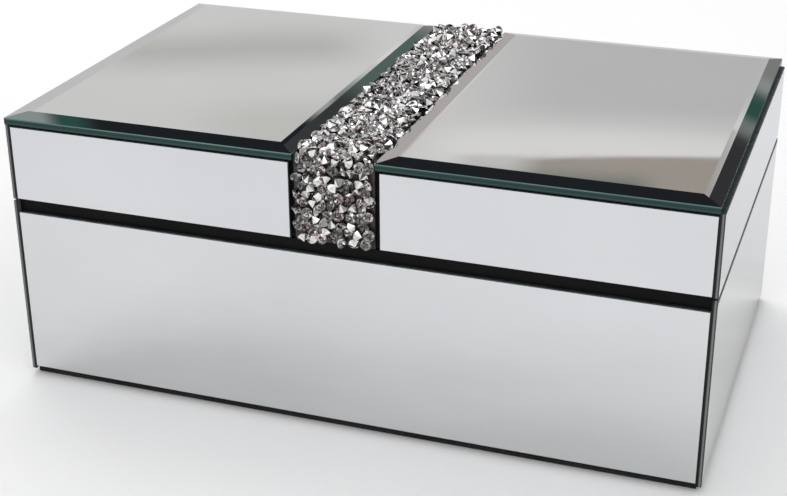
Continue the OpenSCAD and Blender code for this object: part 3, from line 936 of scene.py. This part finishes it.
def make_stones():
    rng = random.Random(STONE_SEED)
    run = TOP_RUN + CORNER_RUN + FRONT_RUN
    places = scattered(rng, run)
    turn_at = TOP_RUN + CORNER_RUN / 2
    on_top = [p for p in places if p[1] < turn_at]
    on_front = [p for p in places if p[1] >= turn_at]
    # The top stones are painted brighter than the front ones: painted light on the lid's top, painted
    # shade on its front
    build_stones("stones_on_top", on_top, "top_stones", rng, 0.34, (0.32, 0.80))
    build_stones("stones_on_front", on_front, "front_stones", rng, 0.52, (0.10, 0.36))


make_stones()


# ---------------------------------------------------------------- floor, light and surroundings

LIT_POINT = Vector((0, 0, 0.05))
FLOOR_HALF = 4.0
FOOT_REACH = 0.19
# Painted shade of the floor around the box's foot, seen only in the mirrors
PAINTED_FOOT_SHADE = [
    (0.0, (0.88, 0.88, 0.865)), (0.35, (0.96, 0.96, 0.955)), (1.0, (0.99, 0.99, 1.0)),
]


def floor_material():
    """Pale floor. Mirrors see it darken towards the box's foot in soft streaks, and behind it: painted
    shade seen only in reflections.
    """
    s = Shader("floor").set(Metallic=0.0, Specular_IOR_Level=0.2)
    pale = s.ramp(s.noise(3.0, 3.0), [(0.3, 0.86), (0.7, 0.88)])
    split = s.node("ShaderNodeSeparateXYZ")
    s.link(s.place(), split.inputs["Vector"])
    beside = s.math("SUBTRACT", s.math("ABSOLUTE", split.outputs["X"]), BODY_HIGH.x)
    before = s.math("SUBTRACT", s.math("ABSOLUTE", split.outputs["Y"]), BODY_HIGH.y)
    streaks = s.spread(s.noise(7.0, 4.0, 0.5, stretch=(1, 2.5, 1)), -0.045, 0.045)
    away = s.math("ADD", s.math("MAXIMUM", beside, before), streaks)
    painted_foot_shade = s.ramp(s.spread(away, 0.0, 1.0, 0.0, FOOT_REACH), PAINTED_FOOT_SHADE)
    # The floor behind the box is painted darker for the mirrors too: painted shade
    behind = s.ramp(s.along("Y", 0.0, 0.20), [(0.35, 1.0), (0.60, (0.84, 0.84, 0.855))])
    painted_foot_shade = s.mix(1.0, painted_foot_shade, behind, "MULTIPLY")
    glossy = s.node("ShaderNodeLightPath").outputs["Is Glossy Ray"]
    s.colour(s.mix(glossy, pale, s.mix(1.0, pale, painted_foot_shade, "MULTIPLY")))
    return s.rough(s.spread(s.noise(40.0, 3.0), 0.6, 0.8)).material


def make_floor():
    corners = [(x * FLOOR_HALF, y * FLOOR_HALF, 0) for x, y in ((-1, -1), (1, -1), (1, 1), (-1, 1))]
    mesh = bpy.data.meshes.new("floor")
    mesh.from_pydata(corners, [], [(0, 1, 2, 3)])
    mesh.materials.append(floor_material())
    floor = bpy.data.objects.new("floor", mesh)
    bpy.context.scene.collection.objects.link(floor)


def area_light(name, at, size, power):
    """Soft light on the box that mirrors don't see."""
    data = bpy.data.lights.new(name, "AREA")
    data.shape = "RECTANGLE"
    data.size, data.size_y = size
    data.energy = power
    light = bpy.data.objects.new(name, data)
    light.location = at
    light.rotation_euler = (LIT_POINT - Vector(at)).to_track_quat("-Z", "Y").to_euler()
    light.visible_glossy = False
    bpy.context.scene.collection.objects.link(light)


class Sky:
    """The world's node tree. Directions are read as azimuth from +Y towards +X, and elevation."""

    def __init__(self):
        world = bpy.data.worlds.new("studio")
        bpy.context.scene.world = world
        world.use_nodes = True
        self.tree = world.node_tree
        self.tree.nodes.clear()
        self.direction = self.tree.nodes.new("ShaderNodeTexCoord").outputs["Generated"]
        split = self.tree.nodes.new("ShaderNodeSeparateXYZ")
        self.tree.links.new(self.direction, split.inputs[0])
        x, y, z = split.outputs
        self.elevation = self.math("DEGREES", self.math("ARCSINE", z))
        self.azimuth = self.math("DEGREES", self.math("ARCTAN2", x, y))

    def math(self, operation, *values):
        return math_node(self.tree, operation, *values)

    def step(self, value, low, high):
        """0 below low, 1 above high, smooth between them."""
        node = self.tree.nodes.new("ShaderNodeMapRange")
        node.interpolation_type = "SMOOTHSTEP"
        node.inputs["From Min"].default_value = low
        node.inputs["From Max"].default_value = high
        self.tree.links.new(value, node.inputs["Value"])
        return node.outputs["Result"]

    def between(self, value, low, high, soft):
        rise = self.step(value, low - soft, low + soft)
        return self.math("SUBTRACT", rise, self.step(value, high - soft, high + soft))

    def patch(self, azimuths, elevations, soft, tilt=0.0):
        """1 inside a rectangle of directions, 0 outside. soft is its edges' softness both ways, and
        tilt how far its level edges fall for each degree of azimuth."""
        across = self.between(self.azimuth, *azimuths, soft[0])
        level = self.math("ADD", self.elevation, self.math("MULTIPLY", self.azimuth, tilt))
        return self.math("MULTIPLY", across, self.between(level, *elevations, soft[1]))

    def mix(self, factor, a, b):
        node = self.tree.nodes.new("ShaderNodeMix")
        node.data_type = "RGBA"
        feed_mix(self.tree, node, factor, a, b)
        return node.outputs[2]

    def painted(self, colour, patches):
        for azimuths, elevations, soft, shade in patches:
            colour = self.mix(self.patch(azimuths, elevations, soft), colour, shade)
        return colour

    def background(self, colour, strength=1.0):
        node = self.tree.nodes.new("ShaderNodeBackground")
        node.inputs["Strength"].default_value = strength
        if isinstance(colour, bpy.types.NodeSocket):
            self.tree.links.new(colour, node.inputs["Color"])
        else:
            node.inputs["Color"].default_value = rgba(colour)
        return node.outputs[0]


AMBIENT = 0.80
ROOM = (0.95, 0.96, 0.98)
HORIZON = (0.66, 0.67, 0.68)
WALL = (0.70, 0.70, 0.695)
CEILING = (0.016, 0.018, 0.022)
TABLE = (0.385, 0.350, 0.318)
WINDOW = (2.6, 2.62, 2.7)
GREEN = (0.030, 0.088, 0.073)
GREY_GREEN = (0.100, 0.145, 0.134)

# Azimuths, elevations, softness of the edges both ways, and colour. Each group is what one part of
# the lid reflects towards the photograph's camera.
LEFT_SLAB = [
    ((-75.0, -30.0), (-20.0, 14.6), (1.5, 0.5), (0.60, 0.60, 0.60)),
    ((-27.5, -17.0), (8.0, 14.0), (1.5, 1.0), (0.50, 0.46, 0.45)),
    ((-30.5, -21.0), (16.6, 17.6), (1.6, 0.6), (0.54, 0.54, 0.52)),
    ((-26.5, -19.0), (19.2, 21.0), (2.0, 0.6), (0.62, 0.62, 0.595)),
]
RIGHT_SLAB = [
    ((-16.0, -1.0), (14.0, 19.7), (3.5, 0.7), (0.555, 0.555, 0.555)),
    ((-18.0, -1.0), (20.2, 21.4), (2.0, 0.5), (0.80, 0.79, 0.785)),
    ((-17.0, -14.0), (21.1, 22.9), (0.8, 0.12), (0.62, 0.61, 0.59)),
]
RIGHT_BEVEL = [
    ((-0.6, 40.0), (20.4, 60.0), (0.4, 0.6), (0.040, 0.038, 0.043)),
    ((-0.6, 40.0), (18.9, 20.4), (0.4, 0.5), GREEN),
    ((-0.6, 40.0), (12.0, 18.9), (0.4, 0.5), (0.24, 0.25, 0.24)),
]
FRONT_BEVEL = [
    ((-75.0, -39.2), (30.0, 45.0), (0.6, 3.0), (0.30, 0.35, 0.34)),
    ((-39.2, -37.9), (30.0, 42.0), (0.7, 3.0), GREEN),
]
WINDOWS = [
    ((110.0, 160.0), (30.0, 60.0), (6.0, 6.0), WINDOW),
    ((-160.0, -110.0), (36.0, 66.0), (6.0, 6.0), WINDOW),
    ((60.0, 95.0), (40.0, 62.0), (6.0, 6.0), WINDOW),
    ((-50.0, 10.0), (58.0, 76.0), (6.0, 6.0), WINDOW),
]
BESIDE_STONES = [
    ((-18.0, -9.6), (22.4, 32.0), (0.8, 0.2), (0.046, 0.050, 0.050)),
    ((-18.0, -9.6), (21.9, 25.0), (0.8, 0.6), GREY_GREEN),
]


def make_world():
    """Mirrors see a pale wall with a dark ceiling behind the box and soft windows higher up; the
    camera and matt surfaces see an even white."""
    sky = Sky()
    colour = sky.mix(sky.step(sky.elevation, 10, 45), HORIZON, ROOM)
    behind = sky.patch((-75, 60), (-20, 90), (6, 4))
    wall = sky.mix(sky.step(sky.elevation, 22.6, 23.8), WALL, CEILING)
    colour = sky.mix(behind, colour, wall)
    patches = LEFT_SLAB + RIGHT_SLAB + RIGHT_BEVEL + FRONT_BEVEL + WINDOWS
    colour = sky.painted(colour, patches)
    table = sky.patch((-14.4, -2.5), (20.43, 22.9), (0.9, 0.10), 0.054)
    colour = sky.painted(sky.mix(table, colour, TABLE), BESIDE_STONES)
    seen = sky.background(colour)
    even = sky.background((1.0, 1.0, 1.0), AMBIENT)
    path = sky.tree.nodes.new("ShaderNodeLightPath")
    mix = sky.tree.nodes.new("ShaderNodeMixShader")
    sky.tree.links.new(path.outputs["Is Glossy Ray"], mix.inputs[0])
    sky.tree.links.new(even, mix.inputs[1])
    sky.tree.links.new(seen, mix.inputs[2])
    out = sky.tree.nodes.new("ShaderNodeOutputWorld")
    sky.tree.links.new(mix.outputs[0], out.inputs["Surface"])


make_floor()
make_world()
area_light("key", (-0.5, 0.7, 1.4), (1.2, 1.2), 9.0)
area_light("fill", (1.1, -0.9, 1.1), (1.4, 1.0), 5.0)
bpy.context.scene.view_settings.view_transform = "Standard"
